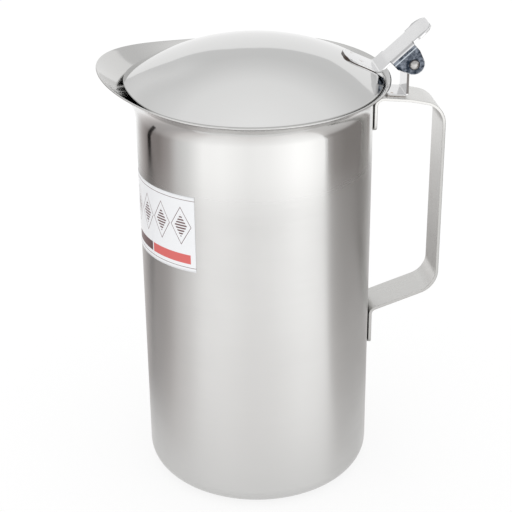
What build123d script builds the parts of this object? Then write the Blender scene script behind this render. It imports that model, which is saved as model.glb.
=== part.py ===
from build123d import *
import os
from math import atan2, cos, degrees, pi, radians, sin, sqrt, tan

os.makedirs("parts", exist_ok=True)

# Frame: millimetres, +Z up, jug standing on z = 0 with its axis on the Z axis.
# The handle and the hinge are on +X, the pouring spout is on -X.

# jug body, pressed from one sheet
body_radius = 60.0
body_sheet = 0.8
rim_height = 220.5
base_corner = 10.0
neck_depth = 26.0  # how far below the rim the formed neck starts
flare_reach = 8.8  # how far the round rim stands out from the wall
flare_tip_angle = 12.0  # slope that is left in the flare where it ends at the rim

# spout, drawn out and up from the same rim
spout_reach = 9.9
spout_rise = 9.5
spout_half_angle = 70.0
spout_rise_half_angle = 77.0
spout_start = 20.0  # depth below the round rim where the spout leaves the wall
spout_tip_angle = 46.0
spout_fullness = 0.17  # how much fuller than a true arc the spout's curve is

# handle strap
strap_width = 21.6
strap_thickness = 1.6
strap_reach = 37.3  # outer face of the upright, measured from the wall
weld_sink = 0.15  # how far a flat seat is let into a round surface
upper_tab_drop = 29.8  # lower end of the upper tab, below the rim
upper_bend_drop = 11.0
saddle_out = 19.0  # where the top run starts to fall away, measured from the wall
saddle_fall = 2.25
outer_fall = 4.35
lower_run_z = 86.45
lower_run_rise = 11.9
lower_tab_end_z = 66.2
grip_bend = 13.3
saddle_bend = 40.0
upper_tab_bend = 4.6
lower_tab_bend = 2.8
tab_corner = 3.0

# hinge
pin_radius = 2.0
pin_out = 20.0  # pin axis, measured out from the wall
pin_up = 4.5  # pin axis, above the round rim
pin_clearance = 0.05
side_clearance = 0.3
bracket_width = 15.0
bracket_sheet = 1.2
bracket_foot = 6.1  # inner end of the bracket foot, measured from the wall
bracket_bend = 1.8
bracket_corner = 2.5
curl_gap = 1.2  # open slot between the wall and the end of the curl
head_radius = 2.8
head_height = 1.5
head_bevel = 0.7

# lid
lid_overlap = 4.5  # how far inside the rim the lid edge lies
lid_sheet = 0.8
lid_height = 18.4
lid_clearance = 0.4

# thumb lever
lever_sheet = 1.2
lever_angle = 41.4
lever_over_pin = 9.9  # upper face of the lever, measured from the pin axis
lever_length = 18.5  # tip of the lever, measured along it from the pin
leaf_length = 19.2
leaf_corner = 6.5
lever_bend = 2.2
tip_length = 6.5
tip_extra = 1.0
tip_corner = 6.0
ear_radius = 5.4
ear_depth = 6.0
ear_inward = 7.9
ear_outward = 6.8

# sizes worked out from the ones above
rim_radius = body_radius + flare_reach
neck_z = rim_height - neck_depth
wall_inner = body_radius - body_sheet
flare_radius = flare_reach / (1 - sin(radians(flare_tip_angle)))
flare_rise = flare_radius * cos(radians(flare_tip_angle))
flare_start_z = rim_height - body_sheet - flare_rise
lid_radius = rim_radius - lid_overlap
seat_out = body_radius + flare_radius - lid_radius
seat_rise = sqrt((flare_radius + body_sheet) ** 2 - seat_out**2)
lid_edge_z = flare_start_z + seat_rise + lid_clearance
dome_radius = (lid_radius**2 + lid_height**2) / (2 * lid_height)
dome_centre_z = lid_edge_z + lid_height - dome_radius
pin_x = body_radius + pin_out
pin_z = rim_height + pin_up
bore_radius = pin_radius + pin_clearance
ear_inner = bracket_width / 2 + side_clearance
lever_half = ear_inner + lever_sheet

# jug_body: round part below the neck
with BuildPart() as lower_body:
    with BuildSketch():
        Circle(body_radius)
    extrude(amount=neck_z)
    fillet(lower_body.edges().group_by(Axis.Z)[0], base_corner)
    offset(amount=-body_sheet, openings=lower_body.faces().sort_by(Axis.Z)[-1])

# Neck: one cross section of the sheet at each azimuth, lofted round half the jug.
# The curve of each section is an arc's Bezier, drawn out longer towards the spout.
# The sections run a little past the symmetry plane, then the overrun is split off.
arc_handle = 4 / 3 * tan(radians(90 - flare_tip_angle) / 4)
inner_scale = (flare_radius + body_sheet) / flare_radius
section_step = 20
with BuildPart() as neck_ring:
    for turn in range(-section_step, 180 + 2 * section_step, section_step):
        off_axis = min(abs(turn), 360 - abs(turn))
        out_share = 0.0
        if off_axis < spout_half_angle:
            out_share = (0.5 + 0.5 * cos(pi * off_axis / spout_half_angle)) ** 0.53
        up_share = 0.0
        if off_axis < spout_rise_half_angle:
            up_share = 0.5 + 0.5 * cos(pi * off_axis / spout_rise_half_angle)
        tip_angle = radians(flare_tip_angle + (spout_tip_angle - flare_tip_angle) * up_share)
        start_z = flare_start_z + (rim_height - spout_start - flare_start_z) * up_share
        end_r = rim_radius + spout_reach * out_share
        end_z = rim_height - body_sheet + spout_rise * up_share
        back_r = end_r - body_sheet * sin(tip_angle)
        back_z = end_z + body_sheet * cos(tip_angle)
        handle = arc_handle * flare_radius * (1 + spout_fullness * up_share)
        lift = handle * (end_z - start_z) / flare_rise
        pull = handle * (end_r - body_radius) / flare_reach
        lift_in = lift * inner_scale
        pull_in = pull * inner_scale
        azimuth = radians(180 + turn)
        out_dir = (cos(azimuth), sin(azimuth), 0)
        side_dir = (sin(azimuth), -cos(azimuth), 0)
        with BuildSketch(Plane(origin=(0, 0, 0), x_dir=out_dir, z_dir=side_dir)):
            with BuildLine():
                Line((body_radius, neck_z), (body_radius, start_z))
                Bezier(
                    (body_radius, start_z),
                    (body_radius, start_z + lift),
                    (end_r - pull * cos(tip_angle), end_z - pull * sin(tip_angle)),
                    (end_r, end_z),
                )
                Line((end_r, end_z), (back_r, back_z))
                Bezier(
                    (back_r, back_z),
                    (back_r - pull_in * cos(tip_angle), back_z - pull_in * sin(tip_angle)),
                    (wall_inner, start_z + lift_in),
                    (wall_inner, start_z),
                )
                Line((wall_inner, start_z), (wall_inner, neck_z))
                Line((wall_inner, neck_z), (body_radius, neck_z))
            make_face()
    loft()
    split(bisect_by=Plane.XZ, keep=Keep.TOP)
    mirror(about=Plane.XZ)

# The lofted ring meets the round wall within a few micrometres, so the join has a tolerance.
with BuildPart() as jug_body:
    add(lower_body.part.fuse(neck_ring.part, tol=0.005))
jug_body.part.label = "jug_body"
export_step(jug_body.part, "parts/jug_body.step")

# handle_strap: one bent flat strap, both tabs turned down along the wall.
# One face is drawn in the XZ plane and the sheet thickness is added on its other side.
seat_x = body_radius - weld_sink
grip_x = body_radius + strap_reach
tab_face_x = seat_x + strap_thickness
upper_z = rim_height - upper_bend_drop
saddle_z = upper_z - saddle_fall
with BuildPart() as handle_strap:
    with BuildSketch(Plane.XZ):
        with BuildLine():
            FilletPolyline(
                (seat_x, rim_height - upper_tab_drop),
                (seat_x, upper_z),
                (body_radius + saddle_out, saddle_z),
                (grip_x, saddle_z - outer_fall),
                (grip_x, lower_run_z + lower_run_rise),
                (tab_face_x, lower_run_z),
                (tab_face_x, lower_tab_end_z),
                radius=(upper_tab_bend, saddle_bend, grip_bend, grip_bend, lower_tab_bend),
            )
            offset(amount=strap_thickness, side=Side.RIGHT, mode=Mode.ADD)
        make_face()
    extrude(amount=strap_width / 2, both=True)
    tab_corners = handle_strap.edges().filter_by(Axis.X)
    fillet(tab_corners, tab_corner)
    with BuildSketch():
        Circle(body_radius)
    extrude(amount=rim_height, mode=Mode.SUBTRACT)
handle_strap.part.label = "handle_strap"
export_step(handle_strap.part, "parts/handle_strap.step")

# hinge_bracket: a foot on the strap, an upright wall and a curl round the pin.
# The line drawn is the underside of the foot, the outer face of the wall and the bore.
wall_x = pin_x - bore_radius
top_slope = saddle_fall / (body_radius + saddle_out - seat_x)
foot_x = body_radius + bracket_foot
with BuildPart() as hinge_bracket:
    with BuildSketch(Plane.XZ):
        with BuildLine():
            FilletPolyline(
                (foot_x, upper_z - top_slope * (foot_x - seat_x)),
                (wall_x, upper_z - top_slope * (wall_x - seat_x)),
                (wall_x, pin_z),
                radius=bracket_bend,
            )
            offset(amount=bracket_sheet, side=Side.LEFT, mode=Mode.ADD)
        make_face()
        with Locations((pin_x, pin_z)):
            Circle(bore_radius + bracket_sheet)
            Circle(bore_radius, mode=Mode.SUBTRACT)
        with Locations((wall_x, pin_z)):
            Rectangle(curl_gap, 2 * pin_radius, align=(Align.MIN, Align.MAX), mode=Mode.SUBTRACT)
    extrude(amount=bracket_width / 2, both=True)
    foot_end = hinge_bracket.faces().sort_by(Axis.X)[0]
    fillet(foot_end.edges().sort_by(SortBy.LENGTH)[:2], bracket_corner)
hinge_bracket.part.label = "hinge_bracket"
export_step(hinge_bracket.part, "parts/hinge_bracket.step")

# hinge_pin: rivet through both ears of the lever and the curl of the bracket
head_end = lever_half + head_height
with BuildPart() as hinge_pin:
    with BuildSketch(Plane(origin=(pin_x, 0, pin_z), x_dir=(0, 1, 0), z_dir=(1, 0, 0))):
        with BuildLine():
            Polyline(
                (0, 0),
                (0, pin_radius),
                (lever_half, pin_radius),
                (lever_half, head_radius),
                (head_end - head_bevel, head_radius),
                (head_end, head_radius - head_bevel),
                (head_end, 0),
                close=True,
            )
        make_face()
    revolve(axis=Axis((pin_x, 0, pin_z), (0, 1, 0)))
    mirror(about=Plane.XZ)
hinge_pin.part.label = "hinge_pin"
export_step(hinge_pin.part, "parts/hinge_pin.step")

# lid_shell: plain dome of one thickness, its edge lying in the flare of the rim
with BuildPart() as lid_shell:
    with Locations(Location((0, 0, dome_centre_z), (90, 0, 0))):
        Sphere(dome_radius + lid_sheet)
        Sphere(dome_radius, mode=Mode.SUBTRACT)
    with BuildSketch(Plane.XY.offset(lid_edge_z)):
        Circle(lid_radius)
    extrude(amount=lid_height + lid_sheet, mode=Mode.INTERSECT)
lid_shell.part.label = "lid_shell"
export_step(lid_shell.part, "parts/lid_shell.step")

# thumb_lever: leaf on the dome, bend, flat lever, and two ears folded down round the bracket
turn_cos = cos(radians(lever_angle))
turn_sin = sin(radians(lever_angle))
under_gap = lever_over_pin - lever_sheet
line_x = pin_x - under_gap * turn_sin
line_z = pin_z + under_gap * turn_cos
leaf_r = dome_radius + lid_sheet - weld_sink
across = line_x * turn_cos + (line_z - dome_centre_z) * turn_sin
excess = line_x**2 + (line_z - dome_centre_z) ** 2 - leaf_r**2
bend_s = sqrt(across**2 - excess) - across
bend_x = line_x + bend_s * turn_cos
bend_z = line_z + bend_s * turn_sin
tip_x = line_x + lever_length * turn_cos
tip_z = line_z + lever_length * turn_sin
ear_plane = Plane(origin=(pin_x, -ear_inner, pin_z), x_dir=(turn_cos, 0, turn_sin), z_dir=(0, -1, 0))
leaf_turn = degrees(atan2(bend_z - dome_centre_z, bend_x))
leaf_x = bend_x - leaf_length
leaf_sweep = degrees(leaf_length / leaf_r)
with BuildPart() as thumb_lever:
    with BuildSketch(Plane.XZ):
        with BuildLine():
            CenterArc((0, dome_centre_z), leaf_r, leaf_turn + leaf_sweep, -leaf_sweep)
            Line((bend_x, bend_z), (tip_x, tip_z))
            offset(amount=lever_sheet, side=Side.LEFT, mode=Mode.ADD)
        make_face()
    extrude(amount=lever_half + tip_extra, both=True)
    fold = thumb_lever.edges().filter_by(Axis.Y).sort_by_distance((bend_x, 0, bend_z))[:2]
    fillet(fold, lever_bend)
    near_x = thumb_lever.part.bounding_box().min.X
    far_x = thumb_lever.part.bounding_box().max.X
    with BuildSketch() as lever_outline:
        with Locations(((near_x + far_x) / 2, 0)):
            Rectangle(far_x - near_x, 2 * lever_half)
        with Locations((far_x - tip_length / 2, 0)):
            Rectangle(tip_length, 2 * (lever_half + tip_extra))
        fillet(lever_outline.vertices().group_by(Axis.X)[0], leaf_corner)
        fillet(lever_outline.vertices().group_by(Axis.X)[-1], tip_corner)
    extrude(amount=pin_z + lever_length + leaf_length, mode=Mode.INTERSECT)
    with BuildSketch(ear_plane):
        Circle(ear_radius)
        with Locations(((ear_outward - ear_inward) / 2, lever_over_pin)):
            Rectangle(ear_inward + ear_outward, ear_depth, align=(Align.CENTER, Align.MAX))
        make_hull()
    extrude(amount=lever_sheet)
    mirror(about=Plane.XZ)
    with BuildSketch(ear_plane.offset(lever_sheet)):
        Circle(pin_radius)
    extrude(amount=-2 * lever_half, mode=Mode.SUBTRACT)
    add(lid_shell.part, mode=Mode.SUBTRACT)
thumb_lever.part.label = "thumb_lever"
export_step(thumb_lever.part, "parts/thumb_lever.step")
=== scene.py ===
import bmesh
import bpy
import numpy as np
from math import cos, pi, radians, sin, sqrt, tan
from mathutils import Matrix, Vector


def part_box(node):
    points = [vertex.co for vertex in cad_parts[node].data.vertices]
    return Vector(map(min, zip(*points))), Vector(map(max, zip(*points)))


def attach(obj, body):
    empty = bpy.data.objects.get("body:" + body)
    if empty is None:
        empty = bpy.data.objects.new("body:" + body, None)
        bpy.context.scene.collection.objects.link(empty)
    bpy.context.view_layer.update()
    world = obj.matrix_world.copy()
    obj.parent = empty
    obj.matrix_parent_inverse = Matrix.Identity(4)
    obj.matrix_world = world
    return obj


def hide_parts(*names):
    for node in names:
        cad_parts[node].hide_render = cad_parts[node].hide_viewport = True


mm = 0.001  # the scene is in metres, the values below are in millimetres

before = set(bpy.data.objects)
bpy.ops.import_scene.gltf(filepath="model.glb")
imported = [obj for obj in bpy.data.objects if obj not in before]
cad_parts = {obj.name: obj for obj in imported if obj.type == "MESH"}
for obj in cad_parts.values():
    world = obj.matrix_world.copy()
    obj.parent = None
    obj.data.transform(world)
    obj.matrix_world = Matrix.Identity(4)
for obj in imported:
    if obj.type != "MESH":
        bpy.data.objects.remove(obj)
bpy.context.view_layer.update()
print("frame loaded:", sorted(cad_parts))


class Wire:
    # a node's output that can stand in a sum: each operation adds its Math node
    def __init__(self, tree, socket):
        self.tree = tree
        self.socket = socket

    def math(self, operation, *values):
        inputs = {index: value for index, value in enumerate(values)}
        return addNode(self.tree, "ShaderNodeMath", {"operation": operation}, inputs)

    def __add__(self, other):
        return self.math("ADD", self, other)

    def __sub__(self, other):
        return self.math("SUBTRACT", self, other)

    def __rsub__(self, other):
        return self.math("SUBTRACT", other, self)

    def __mul__(self, other):
        return self.math("MULTIPLY", self, other)

    def __truediv__(self, other):
        return self.math("DIVIDE", self, other)

    def __pow__(self, other):
        return self.math("POWER", self, other)

    __radd__ = __add__
    __rmul__ = __mul__

    def out(self, name):
        return Wire(self.tree, self.socket.node.outputs[name])


def addNode(tree, kind, settings=None, inputs=None):
    # one node: its settings first, then the values or links of its sockets
    node = tree.nodes.new(kind)
    for key, value in (settings or {}).items():
        if key == "stops":
            fillRamp(node.color_ramp, value)
        else:
            setattr(node, key, value)
    for key, value in (inputs or {}).items():
        if isinstance(value, Wire):
            tree.links.new(value.socket, node.inputs[key])
        else:
            node.inputs[key].default_value = value
    first = next((socket for socket in node.outputs if socket.enabled), None)
    return Wire(tree, first)


def fillRamp(ramp, stops):
    while len(ramp.elements) < len(stops):
        ramp.elements.new(1.0)
    for element, (place, grey) in zip(ramp.elements, stops):
        element.position = place
        element.color = (grey, grey, grey, 1.0)


def emptyMaterial(name):
    material = bpy.data.materials.new(name)
    material.use_nodes = True
    material.node_tree.nodes.clear()
    return material, material.node_tree


def objectPlace(tree):
    return addNode(tree, "ShaderNodeTexCoord").out("Object")


def splitPlace(tree, place):
    # the three numbers of a place vector, read with out("X"), out("Y") and out("Z")
    return addNode(tree, "ShaderNodeSeparateXYZ", {}, {"Vector": place})


def smoothMask(wire, low, high):
    # 0 below low, 1 above high, a soft step between them
    settings = {"interpolation_type": "SMOOTHSTEP"}
    inputs = {"Value": wire, "From Min": low, "From Max": high}
    return addNode(wire.tree, "ShaderNodeMapRange", settings, inputs)


def band(wire, low, high, soft):
    # 1 between low and high, 0 outside, with soft steps of the given half width
    return smoothMask(wire, low - soft, low + soft) * (1 - smoothMask(wire, high - soft, high + soft))


def noise(tree, place, scale, detail=2.0, rough=0.5, stretch=(1, 1, 1)):
    # fine noise on a place vector, stretched by a Mapping node, scale in waves per metre
    stretched = addNode(tree, "ShaderNodeMapping", {}, {"Vector": place, "Scale": stretch})
    inputs = {"Vector": stretched, "Scale": scale, "Detail": detail, "Roughness": rough}
    return addNode(tree, "ShaderNodeTexNoise", {}, inputs)


def mixColor(tree, share, first, second):
    # share 0 gives the first colour, 1 the second; a colour is a Wire or three numbers
    inputs = {0: share}
    for index, color in ((6, first), (7, second)):
        inputs[index] = color if isinstance(color, Wire) else (*color, 1)
    return addNode(tree, "ShaderNodeMix", {"data_type": "RGBA"}, inputs)


def plug(tree, wire, shader, name):
    tree.links.new(wire.socket, shader.inputs[name])


def addBump(tree, shader, height, strength, distance):
    inputs = {"Height": height, "Strength": strength, "Distance": distance}
    plug(tree, addNode(tree, "ShaderNodeBump", {}, inputs), shader, "Normal")


def putMesh(name, points, faces, uv=None):
    mesh = bpy.data.meshes.new(name)
    mesh.from_pydata(points.tolist(), [], faces)
    if uv is not None:
        layer = mesh.uv_layers.new(name="sheet")
        corner = np.empty(len(mesh.loops), np.int32)
        mesh.loops.foreach_get("vertex_index", corner)
        layer.data.foreach_set("uv", uv[corner].astype(np.float32).ravel())
    mesh.polygons.foreach_set("use_smooth", np.ones(len(mesh.polygons), bool))
    mesh.update()
    piece = bpy.data.objects.new(name, mesh)
    bpy.context.collection.objects.link(piece)
    return piece


def closedSkin(name, rings):
    # rings (m, n, 3): m closed rings of n points, the first and the last shrunk to one point each,
    # so the skin is a closed surface with a fan of triangles at both poles
    count, around = rings.shape[:2]
    points = np.concatenate([rings[:1, 0], rings[1:-1].reshape(-1, 3), rings[-1:, 0]])
    here = np.arange(around)
    after = (here + 1) % around
    row = 1 + np.arange(count - 3)[:, None] * around
    quads = np.stack([row + here, row + after, row + around + after, row + around + here], -1)
    lastRow = 1 + (count - 3) * around
    pole = len(points) - 1
    startFan = np.stack([np.zeros_like(here), after + 1, here + 1], -1)
    endFan = np.stack([lastRow + here, lastRow + after, np.full_like(here, pole)], -1)
    faces = quads.reshape(-1, 4).tolist() + startFan.tolist() + endFan.tolist()
    return putMesh(name, points, faces)


def storeRings(piece, name, values, around):
    # one number for each ring of a closed skin, kept on its points for the finish
    spread = np.concatenate([values[:1], np.repeat(values[1:-1], around), values[-1:]])
    layer = piece.data.attributes.new(name, "FLOAT", "POINT")
    layer.data.foreach_set("value", spread.astype(np.float32))


def finishPiece(piece, body, node, slot, *materials):
    for material in materials:
        piece.data.materials.append(material)
    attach(piece, body)
    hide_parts(node)
    print("piece ready:", piece.name, len(piece.data.polygons), "faces")
    return piece


def arcPoints(centre, radius, start, end, count):
    # points of an arc in a plane, angles in radians
    turn = np.linspace(start, end, count)
    return np.stack([centre[0] + radius * np.cos(turn), centre[1] + radius * np.sin(turn)], -1)


def filletedPath(corners, radii, step):
    # a polyline whose inner corners are replaced by tangent arcs, sampled about every step
    pieces = []
    here = np.array(corners[0], float)
    for corner, nextCorner, radius in zip(corners[1:-1], corners[2:], radii):
        corner, nextCorner = np.array(corner, float), np.array(nextCorner, float)
        into = (corner - here) / np.linalg.norm(corner - here)
        away = (nextCorner - corner) / np.linalg.norm(nextCorner - corner)
        bend = np.arctan2(into[0] * away[1] - into[1] * away[0], into @ away)
        cut = radius * tan(abs(bend) / 2)
        side = np.array([-into[1], into[0]]) * np.sign(bend)
        centre = corner - into * cut + side * radius
        first = np.arctan2(*(-side)[::-1])
        pieces.append(straight(here, corner - into * cut, step))
        count = max(8, int(abs(bend) * radius / step * 2))
        pieces.append(arcPoints(centre, radius, first, first + bend, count)[:-1])
        here = corner + away * cut
    end = np.array(corners[-1], float)
    pieces.append(straight(here, end, step))
    pieces.append(end[None])
    return np.concatenate(pieces)


def straight(start, end, step):
    count = max(2, int(np.linalg.norm(end - start) / step))
    share = np.arange(count)[:, None] / count
    return start + (end - start) * share


def lengthAlong(path):
    return np.concatenate([[0.0], np.cumsum(np.linalg.norm(np.diff(path, axis=0), axis=1))])


def gridFaces(rows, columns, first=0):
    row = first + np.arange(rows - 1)[:, None] * columns
    here = np.arange(columns - 1)
    quads = np.stack([row + here, row + here + 1, row + columns + here + 1, row + columns + here], -1)
    return quads.reshape(-1, 4)


def cornerHalfWidth(length, half, startRadius, endRadius):
    # half width of a strip of a given length whose four corners are rounded
    total = length[-1]
    fromStart = np.clip(startRadius - length, 0, startRadius)
    fromEnd = np.clip(endRadius - (total - length), 0, endRadius)
    cutStart = startRadius - np.sqrt(np.maximum(startRadius**2 - fromStart**2, 0))
    cutEnd = endRadius - np.sqrt(np.maximum(endRadius**2 - fromEnd**2, 0))
    return half - cutStart - cutEnd


def thicken(piece, thickness, edge, offset, roundSlot=-1):
    # sheet metal: the drawn face gets its thickness, then every sharp edge a small round
    wall = piece.modifiers.new("thickness", "SOLIDIFY")
    wall.thickness = thickness
    wall.offset = offset
    wall.use_even_offset = True
    wall.material_offset_rim = 1  # the cut edge has its own finish
    bevel = piece.modifiers.new("edges", "BEVEL")
    bevel.width = edge
    bevel.segments = 3
    bevel.limit_method = "ANGLE"
    bevel.angle_limit = radians(50)
    bevel.use_clamp_overlap = False
    bevel.harden_normals = True
    bevel.material = roundSlot


studio = {
    "cameraDistance": 697.1 * mm,  # level distance from the jug's axis
    "cameraHeight": 475.8 * mm,
    "cameraPitch": 27.06,  # degrees below the horizon
    "cameraTurn": 8.1,  # degrees between the line of sight and the jug's own Y axis
    "cameraRoll": -0.631,
    "focalLength": 103.47,  # for a sensor 36 mm wide
    "floorSize": 12.0,
    "floorGrey": 0.9,
    "floorGlow": 1.06,
    "floorShadow": 0.27,  # share of the floor's look that comes from the light on it
}


def makeCamera():
    data = bpy.data.cameras.new("camera")
    data.lens = studio["focalLength"]
    data.sensor_width = 36.0
    data.clip_end = 50.0
    camera = bpy.data.objects.new("camera", data)
    bpy.context.collection.objects.link(camera)
    turn = Matrix.Rotation(-radians(studio["cameraTurn"]), 4, "Z")
    place = Matrix.Translation((0, -studio["cameraDistance"], studio["cameraHeight"]))
    pitch = Matrix.Rotation(radians(90 - studio["cameraPitch"]), 4, "X")
    roll = Matrix.Rotation(radians(studio["cameraRoll"]), 4, "Z")
    camera.matrix_world = turn @ place @ pitch @ roll
    bpy.context.scene.camera = camera


def seenByLens(tree):
    # 1 for camera, mirror and glass rays, so metal shows the same background as the camera
    path = addNode(tree, "ShaderNodeLightPath")
    either = path.out("Is Camera Ray").math("MAXIMUM", path.out("Is Camera Ray"), path.out("Is Glossy Ray"))
    return either.math("MAXIMUM", either, path.out("Is Transmission Ray"))


def makeFloor():
    half = studio["floorSize"] / 2
    corners = np.array([(-half, -half, 0), (half, -half, 0), (half, half, 0), (-half, half, 0)])
    floor = putMesh("floor", corners, [(0, 1, 2, 3)])
    material, tree = emptyMaterial("paleFloor")
    matte = addNode(tree, "ShaderNodeBsdfDiffuse", {}, {"Color": (*[studio["floorGrey"]] * 3, 1)})
    glow = addNode(tree, "ShaderNodeEmission", {}, {"Color": (1, 1, 1, 1), "Strength": studio["floorGlow"]})
    share = seenByLens(tree) * (1 - studio["floorShadow"])
    mixed = addNode(tree, "ShaderNodeMixShader", {}, {0: share, 1: matte, 2: glow})
    addNode(tree, "ShaderNodeOutputMaterial", {}, {"Surface": mixed})
    floor.data.materials.append(material)


def makeWorld():
    world = bpy.data.worlds.new("studio")
    world.use_nodes = True
    tree = world.node_tree
    tree.nodes.clear()
    background = addNode(tree, "ShaderNodeBackground", {}, {"Color": (1, 1, 1, 1), "Strength": 1.0})
    addNode(tree, "ShaderNodeOutputWorld", {}, {"Surface": background})
    bpy.context.scene.world = world


# screens stand round the jug as in a photographer's studio, seen by its steel and not by the camera;
# azimuth 0 is the camera's side and 90 the right of the picture, angles in degrees, sizes in metres.
# profile rows are (distance from the axis, height, share of the screen's light, light from the floor),
# light rows are (azimuth, strength)
screens = {
    "sweep": {
        "profile": [(0.11, 0.003, 0.45, 0.45), (0.20, 0.003, 0.60, 0.36), (0.32, 0.003, 0.75, 0.27),
                    (0.42, 0.003, 1.0, 0.0), (0.50, 0.01, 1.0, 0.0), (0.50, 0.26, 1.0, 0.0)],
        "light": [(-152, 0.95), (-143, 0.74), (-134, 0.54), (-127, 0.42), (-121, 0.32), (-100, 0.30),
                  (-86, 0.48), (-76, 0.8), (-64, 1.0), (-48, 1.42), (-30, 1.46), (-5, 1.32), (12, 1.39),
                  (38, 1.63), (50, 1.60), (67, 1.40)],
        "color": (1.0, 0.88, 0.85)},
    "flagRight": {
        "profile": [(0.11, 0.003, 0.45, 0.66), (0.20, 0.003, 0.60, 0.56), (0.30, 0.003, 0.75, 0.38),
                    (0.36, 0.003, 1.0, 0.0), (0.36, 0.26, 1.0, 0.0)],
        "light": [(68, 0.60), (76, 0.38), (90, 0.30), (124, 0.28), (132, 0.34), (140, 0.6)],
        "color": (1.0, 0.92, 0.88)},
    "stand": {
        "profile": [(0.285, 0.004, 1.0, 0.0), (0.33, 0.004, 1.0, 0.0), (0.33, 0.19, 1.0, 0.0)],
        "light": [(-117, 0.005), (-110.5, 0.005)],
        "color": (1.0, 0.8, 0.7)},
    "behind": {
        "profile": [(0.12, 0.002, 1.0, 0.0), (0.37, 0.002, 1.0, 0.0), (0.46, 0.002, 0.0, 0.97)],
        "light": [(146, 0.9), (156, 0.37), (186, 0.37), (195, 0.97)],
        "color": (1.0, 0.95, 0.92)},
}
tent = {
    "radius": 2.4,
    "centreHeight": 0.225,
    "light": [(-8, 0.74), (13, 0.74), (24, 0.75), (35, 0.76), (43, 0.83), (57, 1.0), (84, 1.09), (90, 1.09)],
    # the white backdrop shows below this edge: (azimuth, lowest elevation of the cloth)
    "edge": [(-180, 26), (-174, 25), (-170, 22), (-165, 19), (-160, 17), (-156, 14), (-154, -5), (-66, -5),
             (-60, 24), (148, 26), (156, 24), (162, 22), (170, 24), (180, 26)],
    "sideGlow": 0.16,  # more light at the left rear, low down, between these azimuths
    "sideStart": -168,
    "sideEnd": -88,
    "sideTop": 43,
}


def makeScreen(name, points, light):
    # points and light (m, n, 3): a grid that glows with its own colours, never seen by the camera
    rows, columns = light.shape[:2]
    screen = putMesh(name, points.reshape(-1, 3), gridFaces(rows, columns).tolist())
    glow = screen.data.color_attributes.new("glow", "FLOAT_COLOR", "POINT")
    tinted = np.ones((rows * columns, 4), np.float32)
    tinted[:, :3] = light.reshape(-1, 3)
    glow.data.foreach_set("color", tinted.ravel())
    material, tree = emptyMaterial(name)
    shade = addNode(tree, "ShaderNodeVertexColor", {"layer_name": "glow"})
    face = addNode(tree, "ShaderNodeEmission", {}, {"Color": shade, "Strength": 1.0})
    addNode(tree, "ShaderNodeOutputMaterial", {}, {"Surface": face})
    screen.data.materials.append(material)
    screen.visible_camera = False
    screen.visible_shadow = False
    screen.visible_diffuse = False


def makeUprightScreen(name, values):
    # a profile turned about the jug's axis, its light worked out for every row and azimuth
    turns, strength = np.array(values["light"], float).T
    azimuth = np.linspace(turns[0], turns[-1], max(8, int(turns[-1] - turns[0])))
    turn = np.radians(azimuth - studio["cameraTurn"])
    distance, height, share, floorLight = np.array(values["profile"]).T[:, :, None]
    flat = np.ones_like(turn)
    points = np.stack([distance * np.sin(turn), -distance * np.cos(turn), height * flat], -1)
    light = (np.interp(azimuth, turns, strength) * share)[:, :, None]
    tint = np.array(values["color"])  # full on the dark parts, none on the bright ones
    makeScreen(name, points, light * (tint + (1 - tint) * smoothStep(light)) + floorLight[:, :, None])


def makeTent():
    # the upper part of a sphere of cloth, its light growing with elevation
    rise, strength = np.array(tent["light"]).T
    azimuth = np.linspace(-180, 180, 361)
    lowest = np.interp(azimuth, *np.array(tent["edge"]).T)
    elevation = lowest + (89.9 - lowest) * np.linspace(0, 1, 60)[:, None]
    light = np.interp(elevation, rise, strength)
    side = smoothStep((azimuth - tent["sideStart"]) / 14) * smoothStep((tent["sideEnd"] - azimuth) / 26)
    low = smoothStep((tent["sideTop"] - elevation) / 12) * smoothStep(elevation / 34)
    light = light * (1 + tent["sideGlow"] * side * low)
    turn = np.radians(azimuth - studio["cameraTurn"])
    level = tent["radius"] * np.cos(np.radians(elevation))
    height = tent["centreHeight"] + tent["radius"] * np.sin(np.radians(elevation))
    points = np.stack([level * np.sin(turn), -level * np.cos(turn), height], -1)
    makeScreen("tent", points, light[:, :, None] * np.ones(3))


def smoothStep(share):
    share = np.clip(share, 0, 1)
    return share * share * (3 - 2 * share)


makeCamera()
makeFloor()
makeWorld()
makeTent()
for screenName, screenValues in screens.items():
    makeUprightScreen(screenName, screenValues)
print("studio ready")


def newSteel(name, color, roughness, anisotropic=0.0, rotation=0.0):
    material, tree = emptyMaterial(name)
    shader = addNode(tree, "ShaderNodeBsdfPrincipled", {}, {
        "Base Color": (*color, 1),
        "Metallic": 1.0,
        "Roughness": roughness,
        "Anisotropic": anisotropic,
        "Anisotropic Rotation": rotation,
    })
    addNode(tree, "ShaderNodeOutputMaterial", {}, {"Surface": shader})
    return material, tree, shader.socket.node


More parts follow.
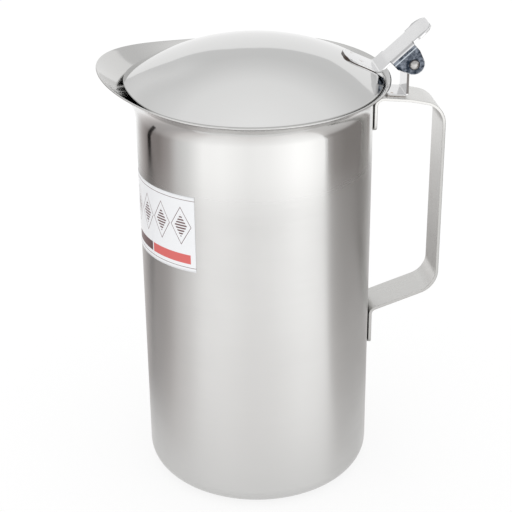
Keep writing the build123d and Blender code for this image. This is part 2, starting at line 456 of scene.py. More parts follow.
finish = {
    "bodyColor": (0.622, 0.619, 0.61),
    "bodyRoughness": 0.34,
    "bodyGrain": 0.94,  # how much more the finish blurs along the wall than round it
    "neckRoughness": 0.10,
    "insideShadeColor": (0.48, 0.475, 0.465),  # painted shade: the inside of the jug and the underside of the lid are darker
    "insideShadeFrom": (0.5, 0.56),  # share of the flare's inner face, 0 at the rim and 1 at the wall
    "polishFrom": 0.165,  # heights between which the satin wall turns into the polished neck
    "polishTo": 0.206,
    "lidColor": (0.68, 0.68, 0.675),
    "lidRoughness": 0.07,
    "strapColor": (0.70, 0.695, 0.68),
    "strapEdge": (0.43, 0.425, 0.415),
    # painted highlight on the strap's sides along the top run
    "topEdgeHighlight": (0.63, 0.625, 0.61),
    "strapRoughness": 0.30,
    "strapEdgeRoughness": 0.32,
    "hingeColor": (0.76, 0.76, 0.765),
    # painted highlight: the lever beyond the rim is given a lighter colour
    "tongueHighlightColor": (0.86, 0.86, 0.865),
    # painted shade along the leaf's cut edge, also the colour of dark specks near the lever's tip
    "edgeShadeAndSpeckColor": (0.11, 0.085, 0.075),
    "weldColor": (0.40, 0.33, 0.28),
    # painted shade on the lever's rounded shoulders beyond the rim
    "shoulderShadeColor": (0.30, 0.30, 0.31),
    # painted reflection: the dark blue grey mottle on the ears
    "earReflectionDark": (0.012, 0.018, 0.028),
    "earReflectionPale": (0.18, 0.20, 0.235),
    # painted highlight along the fold between lever and ear
    "creaseHighlightColor": (0.5, 0.54, 0.58),
    # painted shade on the cut edge of the bracket's upright wall
    "uprightEdgeShade": (0.15, 0.14, 0.135),
    "hingeRoughness": 0.14,
    "pinColor": (0.45, 0.44, 0.43),
    # painted shade round the rim of the pin's head
    "pinRimShade": (0.06, 0.06, 0.065),
}


def bodySteel():
    material, tree, shader = newSteel("bodySteel", finish["bodyColor"], finish["bodyRoughness"],
                                      finish["bodyGrain"], 0.25)
    place = objectPlace(tree)
    # polishing lines run round the wall: long waves round it, short ones up it
    lines = noise(tree, place, 900.0, 3.0, 0.6, (0.04, 0.04, 1.0))
    smear = noise(tree, place, 30.0, 3.0, 0.6, (1, 1, 0.6))
    satin = (lines - 0.5) * 0.10 + (smear - 0.5) * 0.10 + finish["bodyRoughness"]
    # the neck, the flare and the spout are polished brighter than the wall
    up = splitPlace(tree, place).out("Z")
    polish = smoothMask(up + (smear - 0.5) * 0.01, finish["polishFrom"], finish["polishTo"])
    rough = satin + polish * (finish["neckRoughness"] - satin)
    # below the flare the inside is painted darker than the outside, as painted shade
    inner = addNode(tree, "ShaderNodeAttribute", {"attribute_name": "inner"}).out("Fac")
    inside = smoothMask(inner, *finish["insideShadeFrom"])
    plug(tree, mixColor(tree, inside, finish["bodyColor"], finish["insideShadeColor"]), shader, "Base Color")
    plug(tree, rough, shader, "Roughness")
    # relief in millimetres: fine polishing lines and slow waves left by the spinning
    fine = noise(tree, place, 2600.0, 2.0, 0.6, (0.05, 0.05, 1.0))
    waves = noise(tree, place, 26.0, 1.0, 0.4, (1, 1, 0.7))
    relief = lines * 0.0015 + fine * 0.001 + waves * 0.03
    addBump(tree, shader, relief, 1.0, mm)
    return material


def lidSteel():
    material, tree, shader = newSteel("lidSteel", finish["lidColor"], finish["lidRoughness"])
    place = objectPlace(tree)
    haze = noise(tree, place, 40.0, 4.0, 0.6)
    hairs = noise(tree, place, 1500.0, 2.0, 0.5, (0.05, 1, 1))
    rough = (haze - 0.5) * 0.08 + (hairs - 0.5) * 0.03 + finish["lidRoughness"]
    plug(tree, rough, shader, "Roughness")
    # the underside, nearer to the dome's centre than the top, is painted darker, as painted shade
    reach = domeReach(splitPlace(tree, place))
    top = smoothMask(reach, lid["innerDome"] + 0.1 * mm, lid["innerDome"] + 0.3 * mm)
    plug(tree, mixColor(tree, top, finish["insideShadeColor"], finish["lidColor"]), shader, "Base Color")
    return material


def domeReach(split):
    # distance from the centre of the lid's dome
    rise = split.out("Z") - lid["centreHeight"]
    return (split.out("X") ** 2.0 + split.out("Y") ** 2.0 + rise**2.0) ** 0.5


def strapSteel():
    material, tree, shader = newSteel("strapSteel", finish["strapColor"], finish["strapRoughness"])
    place = addNode(tree, "ShaderNodeTexCoord").out("UV")
    # brushed along the strap, which is U in metres
    grain = noise(tree, place, 4000.0, 3.0, 0.7, (0.02, 1, 1))
    smear = noise(tree, place, 60.0, 2.0, 0.5)
    rough = (grain - 0.5) * 0.22 + (smear - 0.5) * 0.1 + finish["strapRoughness"]
    plug(tree, rough, shader, "Roughness")
    addBump(tree, shader, grain, 0.35, 0.03 * mm)
    return material


def leverSteel():
    # mirror polished sheet; the folded ears get a dark blue grey mottle of painted reflection and a painted
    # highlight along the fold
    material, tree, shader = newSteel("leverSteel", finish["hingeColor"], finish["hingeRoughness"])
    place = objectPlace(tree)
    split = splitPlace(tree, place)
    lean = radians(lever["angle"])
    above = (split.out("Z") - pin["z"]) * cos(lean) - (split.out("X") - pin["x"]) * sin(lean)
    ear = 1 - smoothMask(above, *lever["earTop"])
    # painted highlight: a bright line along the fold
    creaseHighlight = band(above, *lever["creaseHighlight"], 0.15 * mm)
    mottle = noise(tree, place, 330.0, 3.0, 0.62)
    # painted reflection: a dark mottle on the ears
    paintedEarReflection = mixColor(tree, smoothMask(mottle, 0.36, 0.70), finish["earReflectionDark"], finish["earReflectionPale"])
    paintedEarReflection = mixColor(tree, creaseHighlight * 0.7, paintedEarReflection, finish["creaseHighlightColor"])
    # painted highlight: the lever beyond the rim is painted lighter
    tongue = smoothMask(split.out("X"), *lever["tongueFrom"])
    sheet = mixColor(tree, tongue, finish["hingeColor"], finish["tongueHighlightColor"])
    # painted shade darkens the shoulders of the lever beyond the rim
    aside = split.out("Y").math("ABSOLUTE", split.out("Y"))
    shoulderShade = smoothMask(aside, *lever["shoulderShade"]) * tongue
    sheet = mixColor(tree, shoulderShade * 0.55, sheet, finish["shoulderShadeColor"])
    for centre in lever["welds"]:
        spot = spotMask(tree, place, centre, lever["spotRadius"])
        sheet = mixColor(tree, spot * 0.8, sheet, finish["weldColor"])
    plug(tree, mixColor(tree, ear, sheet, paintedEarReflection), shader, "Base Color")
    plug(tree, polishedSheet(tree, place, shader) + ear * 0.06, shader, "Roughness")
    return material


def polishedSheet(tree, place, shader):
    # slightly wavy thin sheet; the answer is its roughness
    addBump(tree, shader, noise(tree, place, 160.0, 1.0, 0.4), 0.25, 0.1 * mm)
    return (noise(tree, place, 180.0, 4.0, 0.6) - 0.5) * 0.12 + finish["hingeRoughness"]


def leverEdge():
    # the punched edge of the sheet: bright round the lever; on the welded leaf a dark brown line of painted
    # shade along the edge just above the lid, and dark specks near the tip
    material, tree, shader = newSteel("leverEdge", finish["hingeColor"], 0.22)
    place = objectPlace(tree)
    split = splitPlace(tree, place)
    reach = domeReach(split) - lid["outerDome"]  # height over the lid's surface
    nose = 1 - smoothMask(split.out("X"), *lever["nose"])
    tall = nose * lever["edgeShadeNose"] + lever["edgeShadeHeight"]
    onLeaf = 1 - smoothMask(split.out("X"), *lever["leafEnd"])
    # painted shade: a dark line along the leaf's edge just above the lid
    edgeShade = onLeaf * smoothMask(reach, -0.10 * mm, -0.02 * mm)
    edgeShade = edgeShade * (1 - smoothMask(reach - tall, -0.08 * mm, 0.08 * mm))
    # dark specks on the edge near the tip
    specks = smoothMask(noise(tree, place, 700.0), 0.56, 0.62)
    specks = specks * smoothMask(split.out("X"), *lever["specksFrom"])
    color = mixColor(tree, edgeShade + specks * 0.85, finish["hingeColor"], finish["edgeShadeAndSpeckColor"])
    plug(tree, color, shader, "Base Color")
    return material


def pinSteel():
    # a rolled rivet head: grey dome with a ring of painted shade round its rim, where it meets the ear
    material, tree, shader = newSteel("pinSteel", finish["pinColor"], 0.2)
    place = objectPlace(tree)
    split = splitPlace(tree, place)
    reach = ((split.out("X") - pin["x"]) ** 2.0 + (split.out("Z") - pin["z"]) ** 2.0) ** 0.5
    ring = smoothMask(reach, *pin["ring"])
    plug(tree, mixColor(tree, ring, finish["pinColor"], finish["pinRimShade"]), shader, "Base Color")
    addBump(tree, shader, noise(tree, place, 500.0, 2.0, 0.5), 0.5, 0.15 * mm)
    return material


def bracketSteel():
    # polished sheet with a burnt weld spot on the foot
    material, tree, shader = newSteel("bracketSteel", finish["hingeColor"], finish["hingeRoughness"])
    place = objectPlace(tree)
    spot = spotMask(tree, place, bracket["weld"], bracket["weldRadius"])
    plug(tree, mixColor(tree, spot, finish["hingeColor"], finish["weldColor"]), shader, "Base Color")
    plug(tree, polishedSheet(tree, place, shader), shader, "Roughness")
    return material


def bracketEdge():
    # cut edge: painted shade darkens it on the upright wall, bright on the foot with a brown line where it
    # meets the strap
    material, tree, shader = newSteel("bracketEdge", finish["hingeColor"], 0.2)
    place = objectPlace(tree)
    split = splitPlace(tree, place)
    rise = split.out("Z") - footHeight(split.out("X"))
    # painted shade on the upright wall's cut edge
    upright = smoothMask(rise, *bracket["uprightFrom"])
    seam = 1 - smoothMask(rise, *bracket["seamTop"])
    shade = mixColor(tree, upright, finish["hingeColor"], finish["uprightEdgeShade"])
    shade = mixColor(tree, seam * 0.8, shade, finish["weldColor"])
    plug(tree, shade, shader, "Base Color")
    return material


def strapEdge():
    # the sides of the strap, ground flat: greyer and duller than its faces, and painted lighter on the top run
    # as a painted highlight
    rough = finish["strapEdgeRoughness"]
    material, tree, shader = newSteel("strapEdge", finish["strapEdge"], rough)
    place = objectPlace(tree)
    grain = noise(tree, place, 900.0, 3.0, 0.6)
    plug(tree, (grain - 0.5) * 0.2 + rough, shader, "Roughness")
    topHighlight = smoothMask(splitPlace(tree, place).out("Z"), *strap["highlightFrom"])
    plug(tree, mixColor(tree, topHighlight, finish["strapEdge"], finish["topEdgeHighlight"]), shader, "Base Color")
    return material


def spotMask(tree, place, centre, radius):
    # an irregular spot round a point given by x and y
    split = splitPlace(tree, place)
    away = ((split.out("X") - centre[0]) ** 2.0 + (split.out("Y") - centre[1]) ** 2.0) ** 0.5
    ragged = (noise(tree, place, 1600.0, 2.0, 0.6) - 0.5) * radius * 2.0
    return 1 - smoothMask(away + ragged, radius * 0.5, radius)


jug = {
    "wallRadius": 60.0 * mm,
    "sheet": 0.8 * mm,
    "rimHeight": 220.5 * mm,
    "baseCorner": 10.0 * mm,
    "rimReach": 8.8 * mm,
    "rimSlope": 22.0,  # degrees, slope of the flare where it ends
    "spoutReach": 9.9 * mm,
    "spoutRise": 9.5 * mm,
    "spoutReachAngle": 70.0,
    "spoutRiseAngle": 77.0,
    "spoutDepth": 20.0 * mm,
    "spoutSlope": 46.0,
    "spoutFullness": 0.17,
    "around": 288,
    "flareRows": 40,
    "cornerRows": 16,
    "wallRows": 30,
}


def bezier(control, count):
    # cubic Bezier for every azimuth at once: control holds four (radius, height) pairs of arrays
    share = np.linspace(0, 1, count)[:, None]
    weights = ((1 - share) ** 3, 3 * share * (1 - share) ** 2, 3 * share**2 * (1 - share), share**3)
    radius = sum(weight * point[0] for weight, point in zip(weights, control))
    height = sum(weight * point[1] for weight, point in zip(weights, control))
    return radius, height


def makeJugBody(material):
    # profile of the sheet at every azimuth: flat base, corner arc, wall, flare curve, rolled rim
    # edge, and the same way back inside. Reach and rise of the rim grow towards the spout as
    # half cosines of the azimuth, which is measured from the spout
    wall, sheet, corner = jug["wallRadius"], jug["sheet"], jug["baseCorner"]
    inner = wall - sheet
    azimuth = np.linspace(0, 2 * pi, jug["around"], endpoint=False)
    fromSpout = np.degrees(np.abs((azimuth + pi) % (2 * pi) - pi))
    wide = np.clip(fromSpout / jug["spoutReachAngle"], 0, 1)
    tall = np.clip(fromSpout / jug["spoutRiseAngle"], 0, 1)
    outShare = (0.5 + 0.5 * np.cos(pi * wide)) ** 0.53
    upShare = 0.5 + 0.5 * np.cos(pi * tall)
    flareRadius = jug["rimReach"] / (1 - sin(radians(jug["rimSlope"])))
    flareRise = flareRadius * cos(radians(jug["rimSlope"]))
    flareStart = jug["rimHeight"] - sheet - flareRise
    slope = np.radians(jug["rimSlope"] + (jug["spoutSlope"] - jug["rimSlope"]) * upShare)
    start = flareStart + (jug["rimHeight"] - jug["spoutDepth"] - flareStart) * upShare
    endRadius = wall + jug["rimReach"] + jug["spoutReach"] * outShare - np.cos(slope) * sheet / 2
    endHeight = jug["rimHeight"] - sheet + jug["spoutRise"] * upShare - np.sin(slope) * sheet / 2
    backRadius = endRadius - sheet * np.sin(slope)
    backHeight = endHeight + sheet * np.cos(slope)
    handle = 4 / 3 * tan(radians(90 - jug["rimSlope"]) / 4) * flareRadius * (1 + jug["spoutFullness"] * upShare)
    lift = handle * (endHeight - start) / flareRise
    pull = handle * (endRadius - wall) / jug["rimReach"]
    grown = (flareRadius + sheet) / flareRadius
    outside = bezier([(wall + 0 * start, start), (wall + 0 * start, start + lift),
                      (endRadius - pull * np.cos(slope), endHeight - pull * np.sin(slope)),
                      (endRadius, endHeight)], jug["flareRows"])
    inside = bezier([(backRadius, backHeight),
                     (backRadius - grown * pull * np.cos(slope), backHeight - grown * pull * np.sin(slope)),
                     (inner + 0 * start, start + grown * lift), (inner + 0 * start, start)], jug["flareRows"])
    turn = np.linspace(0, pi, 10)[1:-1, None]
    midRadius, midHeight = (endRadius + backRadius) / 2, (endHeight + backHeight) / 2
    rimRadius = midRadius + (endRadius - midRadius) * np.cos(turn) + np.cos(slope) * sheet / 2 * np.sin(turn)
    rimHeight = midHeight + (endHeight - midHeight) * np.cos(turn) + np.sin(slope) * sheet / 2 * np.sin(turn)
    full = np.ones_like(azimuth)
    cornerTurn = np.linspace(-pi / 2, 0, jug["cornerRows"])[:, None]
    baseSteps = np.array([0.0, 0.12, 0.4, 0.7, 0.95])[:, None]
    wallSteps = np.linspace(0, 1, jug["wallRows"])[1:-1, None]
    radius = np.concatenate([
        (wall - corner) * baseSteps * full,
        wall - corner + corner * np.cos(cornerTurn) * full,
        wall * full * np.ones_like(wallSteps),
        outside[0], rimRadius, inside[0],
        inner * full * np.ones_like(wallSteps),
        wall - corner + (corner - sheet) * np.cos(cornerTurn[::-1]) * full,
        (wall - corner) * baseSteps[::-1] * full,
    ])
    height = np.concatenate([
        0 * baseSteps * full,
        corner + corner * np.sin(cornerTurn) * full,
        corner + (start - corner) * wallSteps,
        outside[1], rimHeight, inside[1],
        corner + (start - corner) * wallSteps[::-1],
        corner + (corner - sheet) * np.sin(cornerTurn[::-1]) * full,
        sheet * full * np.ones_like(baseSteps),
    ])
    rings = np.stack([-radius * np.cos(azimuth), -radius * np.sin(azimuth), height], -1)
    piece = closedSkin("jugBody", rings)
    innerRows = len(baseSteps) + len(cornerTurn) + len(wallSteps)
    outerRows = len(rings) - innerRows - jug["flareRows"]
    depth = np.concatenate([np.zeros(outerRows), np.linspace(0, 1, jug["flareRows"]), np.ones(innerRows)])
    storeRings(piece, "inner", depth, jug["around"])
    return finishPiece(piece, "jug", "jug_body", "body_steel", material)


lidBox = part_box("lid_shell")
lid = {
    "radius": lidBox[1].x,
    "sheet": 0.8 * mm,
    "top": lidBox[1].z,
    "edgeHeight": lidBox[0].z,
    "edgeRound": 0.35 * mm,
    "overhang": 0.7 * mm,
    "hem": 0.3 * mm,  # how far the cut edge reaches down towards the flare
    "hemStart": 1.5 * mm,
    "hemEnd": 0.4 * mm,
    "lift": 2.2 * mm,  # the edge is bent up a little where it meets the spout
    "liftAngle": 42.0,
    "liftReach": 0.4 * mm,
    "liftDepth": 26.0 * mm,
    "around": 240,
}
lid["innerDome"] = (lid["radius"] ** 2 + (lid["top"] - lid["sheet"] - lid["edgeHeight"]) ** 2) / (
    2 * (lid["top"] - lid["sheet"] - lid["edgeHeight"]))
lid["outerDome"] = lid["innerDome"] + lid["sheet"]
lid["centreHeight"] = lid["top"] - lid["outerDome"]


def makeLid(material):
    # two spheres about one centre, joined at the edge by a small round: profile turned about Z;
    # towards the spout the edge rises by a squared cosine of the azimuth
    edge = lid["radius"] + lid["overhang"]
    small = lid["edgeRound"]
    azimuth = np.linspace(0, 2 * pi, lid["around"], endpoint=False)
    steps = np.sin(np.linspace(0, pi / 2, 60)) * (edge - small)
    under = lid["centreHeight"] + np.sqrt(lid["innerDome"] ** 2 - steps**2)
    hemWidth = lid["hemStart"] - lid["hemEnd"]
    under = under - lid["hem"] * smoothStep((steps - edge + lid["hemStart"]) / hemWidth)
    over = lid["centreHeight"] + np.sqrt(lid["outerDome"] ** 2 - steps**2)
    turn = np.linspace(-pi / 2, pi / 2, 10)[1:-1]
    middle = (under[-1] + over[-1]) / 2
    radius = np.concatenate([steps, edge - small + small * np.cos(turn), steps[::-1]])
    height = np.concatenate([under, middle + (over[-1] - under[-1]) / 2 * np.sin(turn), over[::-1]])
    fromSpout = np.degrees(np.abs(azimuth - pi)) / lid["liftAngle"]
    bent = np.cos(np.clip(fromSpout, 0, 1) * pi / 2) ** 2
    bent = bent * smoothStep((radius[:, None] - edge + lid["liftDepth"]) / lid["liftDepth"])
    radius = radius[:, None] + lid["liftReach"] * bent
    height = height[:, None] + lid["lift"] * bent
    rings = np.stack([radius * np.cos(azimuth), radius * np.sin(azimuth), height], -1)
    piece = closedSkin("lidShell", rings)
    return finishPiece(piece, "lid", "lid_shell", "lid_steel", material)


strap = {
    "halfWidth": 10.8 * mm,
    "sheet": 1.6 * mm,
    "seat": 59.85 * mm,
    "reach": 97.3 * mm,
    "upperEnd": 190.7 * mm,
    "upperRun": 209.5 * mm,
    "saddleOut": 79.0 * mm,
    "saddleFall": 2.25 * mm,
    "outerFall": 4.35 * mm,
    "lowerRun": 86.45 * mm,
    "lowerRise": 11.9 * mm,
    "lowerEnd": 66.2 * mm,
    "tabCorner": 3.0 * mm,
    "bends": np.array([4.6, 40.0, 13.3, 13.3, 2.8]) * mm,
    "edgeRound": 0.35 * mm,
    # heights between which the strap's sides get the painted highlight
    "highlightFrom": (185 * mm, 203 * mm),
}


def strapPath():
    seat, saddle = strap["seat"], strap["upperRun"] - strap["saddleFall"]
    tab = seat + strap["sheet"]
    corners = [(seat, strap["upperEnd"]), (seat, strap["upperRun"]), (strap["saddleOut"], saddle),
               (strap["reach"], saddle - strap["outerFall"]),
               (strap["reach"], strap["lowerRun"] + strap["lowerRise"]),
               (tab, strap["lowerRun"]), (tab, strap["lowerEnd"])]
    return filletedPath(corners, strap["bends"], 1.2 * mm)


def sheetBlock(path, half, across, first, last):
    # rows first to last of a path in the XZ plane, spread out along Y to the half width
    rows = slice(first, last + 1)
    flat = np.ones_like(across)
    points = np.stack([path[rows, :1] * flat, half[rows, None] * across, path[rows, 1:] * flat], -1)
    return points.reshape(-1, 3), gridFaces(last - first + 1, len(across))


def sheetPiece(name, path, halfWidth, columns, thickness, edge, offset):
    # a strip carried along a path in the XZ plane, Y across it; UV is length along and across
    length = lengthAlong(path)
    across = np.linspace(-1, 1, columns)
    points, faces = sheetBlock(path, halfWidth, across, 0, len(path) - 1)
    uv = np.stack([length[:, None] * np.ones_like(across), halfWidth[:, None] * across], -1)
    piece = putMesh(name, points, faces.tolist(), uv.reshape(-1, 2))
    thicken(piece, thickness, edge, offset)
    return piece


def makeStrap(material, edgeMaterial):
    path = strapPath()
    length = lengthAlong(path)
    half = cornerHalfWidth(length, strap["halfWidth"], strap["tabCorner"], strap["tabCorner"])
    piece = sheetPiece("handleStrap", path, half, 13, strap["sheet"], strap["edgeRound"], 1.0)
    return finishPiece(piece, "jug", "handle_strap", "strap_steel", material, edgeMaterial)


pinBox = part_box("hinge_pin")
pin = {
    "x": (pinBox[0].x + pinBox[1].x) / 2,
    "z": (pinBox[0].z + pinBox[1].z) / 2,
    "shank": 2.0 * mm,
    "head": 2.8 * mm,
    "headHeight": 1.5 * mm,
    "end": pinBox[1].y,
    "around": 64,
    "ring": (2.05 * mm, 2.45 * mm),  # radii between which the head is painted dark, painted shade
}
bracket = {
    "halfWidth": 7.5 * mm,
    "sheet": 1.2 * mm,
    "footEnd": 66.1 * mm,
    "bore": 2.05 * mm,
    "bend": 1.8 * mm,
    "footCorner": 2.5 * mm,
    "weld": (69.7 * mm, -5.6 * mm),
    "weldRadius": 0.9 * mm,
    "uprightFrom": (1.3 * mm, 2.0 * mm),  # heights over the strap
    "seamTop": (0.2 * mm, 0.4 * mm),
    "curlEnd": -114.0,  # degrees round the pin where the curl stops
    "edgeRound": 0.2 * mm,
}


def footHeight(x):
    # height of the strap's sloping top run, on which the bracket's foot lies
    slope = strap["saddleFall"] / (strap["saddleOut"] - strap["seat"])
    return (x - strap["seat"]) * -slope + strap["upperRun"]


def makeBracket(material, edgeMaterial):
    # foot on the strap, a bend, the upright wall and the curl round the pin, as one path
    wallX = pin["x"] - bracket["bore"]
    upright = filletedPath([(bracket["footEnd"], footHeight(bracket["footEnd"])),
                            (wallX, footHeight(wallX)), (wallX, pin["z"])], [bracket["bend"]], 0.8 * mm)
    curl = arcPoints((pin["x"], pin["z"]), bracket["bore"], pi, radians(bracket["curlEnd"]), 48)
    path = np.concatenate([upright[:-1], curl])
    half = cornerHalfWidth(lengthAlong(path), bracket["halfWidth"], bracket["footCorner"], 1e-9)
    piece = sheetPiece("hingeBracket", path, half, 11, bracket["sheet"], bracket["edgeRound"], -1.0)
    return finishPiece(piece, "jug", "hinge_bracket", "hinge_steel", material, edgeMaterial)


def makePin(material):
    # profile turned about the pin's axis: domed head, shank, domed head
    shank, head, tall = pin["shank"], pin["head"], pin["headHeight"]
    dome = (head**2 + tall**2) / (2 * tall)
    seat = pin["end"] - tall
    small = 0.25 * mm
    steps = np.sin(np.linspace(0, pi / 2, 16)) * (head - small)
    rise = np.sqrt(dome**2 - steps**2) - (dome - tall)
    turn = np.linspace(pi / 2, -pi / 2, 8)[1:-1]
    radius = np.concatenate([steps, head - small + small * np.cos(turn), [head - small, shank]])
    along = np.concatenate([seat + rise, seat + rise[-1] / 2 * (1 + np.sin(turn)), [seat, seat]])
    radius = np.concatenate([radius, radius[::-1]])
    along = np.concatenate([along, -along[::-1]])
    azimuth = np.linspace(0, 2 * pi, pin["around"], endpoint=False)
    rings = np.stack([
        pin["x"] + radius[:, None] * np.sin(azimuth), along[:, None] * np.ones_like(azimuth),
        pin["z"] + radius[:, None] * np.cos(azimuth)], -1)
    piece = closedSkin("hingePin", rings)
    return finishPiece(piece, "lid", "hinge_pin", "hinge_steel", material)


lever = {
    "sheet": 1.2 * mm,
    "angle": 41.4,
    "overPin": 9.9 * mm,
    "length": 18.95 * mm,
    "leafLength": 19.2 * mm,
    "leafCorner": 6.5 * mm,
    "leafSink": 0.15 * mm,
    "bend": 2.6 * mm,
    "halfWidth": 9.0 * mm,
    "tipLength": 6.5 * mm,
    "tipExtra": 1.0 * mm,
    "tipCorner": 6.0 * mm,
    "tipDrop": 0.4 * mm,  # the tip is bent slightly down for the thumb
    "earRadius": 5.4 * mm,
    "earDepth": 6.0 * mm,
    "earInward": 7.9 * mm,
    "earOutward": 6.8 * mm,
    "foldRadius": 0.3 * mm,  # inner radius of the fold between lever and ear
    "edgeRound": 0.28 * mm,
    "weldDepth": 0.22 * mm,
    "weldRadius": 1.5 * mm,
    "welds": [(53.8 * mm, -3.4 * mm), (50.6 * mm, 5.8 * mm)],
    "spotRadius": 1.0 * mm,
    "earTop": (7.9 * mm, 8.3 * mm),  # heights over the pin's axis, square to the lever
    # heights over the pin's axis of the painted highlight along the fold
    "creaseHighlight": (6.05 * mm, 6.65 * mm),
    "tongueFrom": (65.0 * mm, 68.0 * mm),  # distances from the jug's axis, as the next three are
    "nose": (46.3 * mm, 47.8 * mm),
    "leafEnd": (62.0 * mm, 63.5 * mm),
    "specksFrom": (88.0 * mm, 89.0 * mm),
    "shoulderShade": (7.6 * mm, 8.5 * mm),  # distances from the middle of the lever
    # heights over the lid of the painted shade on the leaf's edge
    "edgeShadeHeight": 0.30 * mm,
    "edgeShadeNose": 0.7 * mm,
}


def tangentTurn(corner, radius, side):
    # angle where the line from a corner touches a circle round the origin, on the given side
    return np.arctan2(corner[1], corner[0]) + side * np.arccos(radius / np.hypot(*corner))


def earOutline():
    # lower outline of an ear in the lever's own plane: corner, tangent, arc round the pin,
    # tangent, corner; first value along the lever, second towards the lever from the pin
    low = lever["overPin"] - lever["earDepth"]
    inner, outer = (-lever["earInward"], low), (lever["earOutward"], low)
    first = tangentTurn(inner, lever["earRadius"], 1)
    last = tangentTurn(outer, lever["earRadius"], -1) + 2 * pi
    arc = arcPoints((0, 0), lever["earRadius"], first, last, 40)
    lead = straight(np.array(inner), arc[0], 0.5 * mm)
    tail = straight(arc[-1], np.array(outer), 0.5 * mm)
    return np.concatenate([lead, arc[:-1], tail, [outer]])


def leverHalfWidth(x, near, far):
    # half width over the plan length: round leaf end, plain sides, a wider tip with round corners
    soft = 0.8 * mm
    wider = smoothStep((x - far + lever["tipLength"] + soft) / (2 * soft))
    half = lever["halfWidth"] + lever["tipExtra"] * wider
    leafCut = np.clip(lever["leafCorner"] - (x - near), 0, lever["leafCorner"])
    tipCut = np.clip(lever["tipCorner"] - (far - x), 0, lever["tipCorner"])
    half = half - lever["leafCorner"] + np.sqrt(np.maximum(lever["leafCorner"] ** 2 - leafCut**2, 0))
    return half - lever["tipCorner"] + np.sqrt(np.maximum(lever["tipCorner"] ** 2 - tipCut**2, 0))


def makeLever(material, edgeMaterial):
    # under face of the sheet: an arc on the dome, a bend and a straight run; the ears are folded
    # down from the sides of the run, each column of an ear following fold arc and leg
    along = np.array([cos(radians(lever["angle"])), sin(radians(lever["angle"]))])
    above = np.array([-along[1], along[0]])
    gap = lever["overPin"] - lever["sheet"]
    foot = np.array([pin["x"], pin["z"]]) + gap * above
    leafRadius = lid["outerDome"] - lever["leafSink"]
    centre = np.array([0, lid["centreHeight"]])
    across = (foot - centre) @ along
    bendLength = sqrt(across**2 - (foot - centre) @ (foot - centre) + leafRadius**2) - across
    bend = foot + bendLength * along
    bendTurn = np.arctan2(bend[1] - centre[1], bend[0])
    fold = pi / 2 - bendTurn + radians(lever["angle"])
    cut = lever["bend"] * tan(fold / 2)
    leafTurns = (bendTurn + lever["leafLength"] / leafRadius, bendTurn + cut / leafRadius)
    leaf = arcPoints(centre, leafRadius, *leafTurns, 44)
    tangent = np.array([sin(leafTurns[1]), -cos(leafTurns[1])])
    bendCentre = leaf[-1] + lever["bend"] * np.array([-tangent[1], tangent[0]])
    start = np.arctan2(tangent[1], tangent[0]) - pi / 2
    bendArc = arcPoints(bendCentre, lever["bend"], start, radians(lever["angle"]) - pi / 2, 14)
    outline = earOutline()
    tip = foot + lever["length"] * along
    earStart = foot - lever["earInward"] * along
    earEnd = foot + lever["earOutward"] * along
    lead = straight(bendArc[-1], earStart, 0.4 * mm)
    run = foot + outline[:, :1] * along
    tail = straight(earEnd, tip, 0.25 * mm)[1:]
    tail = np.concatenate([tail, tip - along * np.array([[0.12 * mm], [0.04 * mm], [0.0]])])
    bentShare = ((tail - tip) @ along + lever["tipLength"]) / lever["tipLength"]
    tail = tail - lever["tipDrop"] * smoothStep(bentShare)[:, None] * above
    path = np.concatenate([leaf[:-1], bendArc[:-1], lead, run, tail])
    near, far = path[0, 0], path[-1, 0]
    half = leverHalfWidth(path[:, 0], near, far)
    middle = lever["halfWidth"] - lever["sheet"] - lever["foldRadius"]
    earFirst = len(leaf) - 1 + len(bendArc) - 1 + len(lead)
    earLast = earFirst + len(run) - 1
    blocks = [sheetBlock(path, np.minimum(half, middle), np.linspace(-1, 1, 41), 0, len(path) - 1)]
    for side in (-1, 1):
        for first, last in ((0, earFirst), (earLast, len(path) - 1)):
            blocks.append(sideBlock(path, half, middle, side, first, last))
        blocks.append(earBlock(run, outline, gap, above, middle, side))
    points, faces, count = [], [], 0
    for blockPoints, blockFaces in blocks:
        points.append(blockPoints)
        faces.append(blockFaces + count)
        count += len(blockPoints)
    points = np.concatenate(points)
    onLeaf = smoothStep((bend[0] - points[:, 0]) / (6 * mm))
    points[:, 2] -= onLeaf * points[:, 1] ** 2 / (2 * leafRadius)
    for x, y in lever["welds"]:
        away = np.hypot(points[:, 0] - x, points[:, 1] - y) / lever["weldRadius"]
        points[:, 2] -= lever["weldDepth"] * np.exp(-away**4)
    piece = putMesh("thumbLever", points, np.concatenate(faces).tolist())
    mergeDoubles(piece, 0.01 * mm)
    thicken(piece, lever["sheet"], lever["edgeRound"], -1.0, roundSlot=1)
    return finishPiece(piece, "lid", "thumb_lever", "hinge_steel", material, edgeMaterial)


def sideBlock(path, half, middle, side, first, last):
    # the strip between the middle of the sheet and its plain side edge
    rows = slice(first, last + 1)
    inner = np.minimum(half, middle)[rows, None]
    share = np.linspace(0, 1, 5)
    y = side * (inner + (half[rows, None] - inner) * share)
    flat = np.ones_like(share)
    points = np.stack([path[rows, :1] * flat, y, path[rows, 1:] * flat], -1)
    faces = gridFaces(last - first + 1, len(share))
    return points.reshape(-1, 3), faces if side > 0 else faces[:, ::-1]


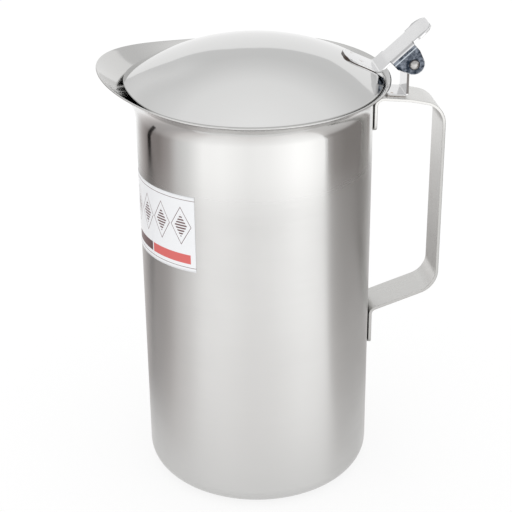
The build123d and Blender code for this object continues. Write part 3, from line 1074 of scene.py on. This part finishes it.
def earBlock(run, outline, gap, above, middle, side):
    # down from the fold: first the quarter arc of the fold, then the flat leg to the outline
    radius = lever["foldRadius"]
    turn = np.linspace(0, pi / 2, 7)
    arcY = middle + radius * np.sin(turn)
    arcDrop = radius * (1 - np.cos(turn))
    share = np.linspace(0, 1, 15)[1:]
    legDrop = arcDrop[-1] + (gap - outline[:, 1:] - arcDrop[-1]) * share
    drop = np.concatenate([np.ones((len(outline), 1)) * arcDrop, legDrop], 1)
    y = np.concatenate([arcY, np.full(len(share), middle + radius)])
    points = np.stack([
        run[:, :1] - drop * above[0], side * y * np.ones_like(drop), run[:, 1:] - drop * above[1]], -1)
    faces = gridFaces(len(outline), drop.shape[1])
    return points.reshape(-1, 3), faces if side > 0 else faces[:, ::-1]


def mergeDoubles(piece, distance):
    # joins the blocks of a sheet where their borders meet
    mesh = bmesh.new()
    mesh.from_mesh(piece.data)
    bmesh.ops.remove_doubles(mesh, verts=mesh.verts, dist=distance)
    mesh.to_mesh(piece.data)
    mesh.free()


label = {
    "radius": 60.02 * mm,
    "thickness": 0.13 * mm,
    "from": -29.5,  # degrees, seen from the camera's side as the screens are
    "to": -86.0,
    "lowCorner": 137.3 * mm,
    "height": 40.9 * mm,
    "tilt": 0.075,  # how much it was stuck on askew, rise over run
    "paper": (0.93, 0.94, 0.96),
    "red": (0.76, 0.13, 0.12),
    "dark": (0.13, 0.055, 0.055),
    "lineWidth": 0.28 * mm,
    "motifStep": 7.0 * mm,  # half the distance between two lozenges
    "motifHeight": 11.0 * mm,
    "rowStart": 8.6 * mm,
    "rowHeight": 24.5 * mm,
    "rowEnds": (1.7 * mm, 57.5 * mm),
    "stripe": 0.75 * mm,
    "margin": 2.0 * mm,
    "bars": (4.2 * mm, 9.2 * mm),  # heights of both bars
    "redBar": (3.0 * mm, 31.0 * mm),
    "darkBar": (32.0 * mm, 53.0 * mm),
    "soft": 0.08 * mm,  # half width of the print's soft edge
}


def makeLabel(material):
    # a sheet wrapped on the wall: angle across, height up, rising evenly with the tilt
    rows, count = 30, 90
    turn = np.radians(np.linspace(label["from"], label["to"], count) - studio["cameraTurn"])
    length = (turn[0] - turn) * label["radius"]
    up = np.linspace(0, label["height"], rows)[:, None]
    height = label["lowCorner"] + up - length * label["tilt"]
    flat = np.ones_like(up)
    x, y = label["radius"] * np.sin(turn), -label["radius"] * np.cos(turn)
    points = np.stack([x * flat, y * flat, height], -1)
    uv = np.stack([length * flat, up * np.ones(count)], -1)
    faces = gridFaces(rows, count)[:, ::-1]
    piece = putMesh("paperLabel", points.reshape(-1, 3), faces.tolist(), uv.reshape(-1, 2))
    wall = piece.modifiers.new("thickness", "SOLIDIFY")
    wall.thickness = label["thickness"]
    wall.offset = 1.0
    piece.data.materials.append(material)
    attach(piece, "jug")
    print("piece ready:", piece.name)


def labelPaper():
    material, tree = emptyMaterial("labelPaper")
    shader = addNode(tree, "ShaderNodeBsdfPrincipled", {}, {"Roughness": 0.42, "Coat Weight": 0.25})
    addNode(tree, "ShaderNodeOutputMaterial", {}, {"Surface": shader})
    place = addNode(tree, "ShaderNodeTexCoord").out("UV")
    split = splitPlace(tree, place)
    across, up = split.out("X"), split.out("Y")
    line, soft = label["lineWidth"], label["soft"]
    # a row of lozenges: the distances to a lozenge's centre across and up, each over its half
    # size, add up to less than 1 inside it; an outline near 1 and a striped core are printed
    aside = across.math("PINGPONG", across - label["rowStart"], label["motifStep"])
    rise = across.math("ABSOLUTE", up - label["rowHeight"])
    lozenge = aside * (1 / label["motifStep"]) + rise * (1 / label["motifHeight"])
    share, outer = line / label["motifStep"], 0.93
    outline = smoothMask(lozenge, outer - share * 1.4, outer - share)
    outline = outline * (1 - smoothMask(lozenge, outer, outer + share * 0.4))
    stripes = across.math("PINGPONG", up, label["stripe"])
    core = (1 - smoothMask(lozenge, 0.55, 0.58)) * smoothMask(stripes, 0.30 * mm, 0.40 * mm)
    motif = (outline + core) * band(across, *label["rowEnds"], soft)
    low, high = label["margin"], label["height"] - label["margin"]
    border = band(up, low, low + line, soft) + band(up, high - line, high, soft)
    bars = band(up, *label["bars"], soft)
    redBar = bars * band(across, *label["redBar"], soft)
    darkBar = bars * band(across, *label["darkBar"], soft)
    ink = motif + border + darkBar
    ink = ink.math("MINIMUM", ink, 1.0)
    color = mixColor(tree, ink, label["paper"], label["dark"])
    color = mixColor(tree, redBar, color, label["red"])
    plug(tree, color, shader.socket.node, "Base Color")
    grain = noise(tree, place, 1800.0, 3.0, 0.6)
    addBump(tree, shader.socket.node, grain, 0.15, 0.02 * mm)
    return material


makeJugBody(bodySteel())
makeLid(lidSteel())
makeStrap(strapSteel(), strapEdge())
makeBracket(bracketSteel(), bracketEdge())
makePin(pinSteel())
makeLever(leverSteel(), leverEdge())
makeLabel(labelPaper())

bpy.context.scene.view_settings.view_transform = "Standard"
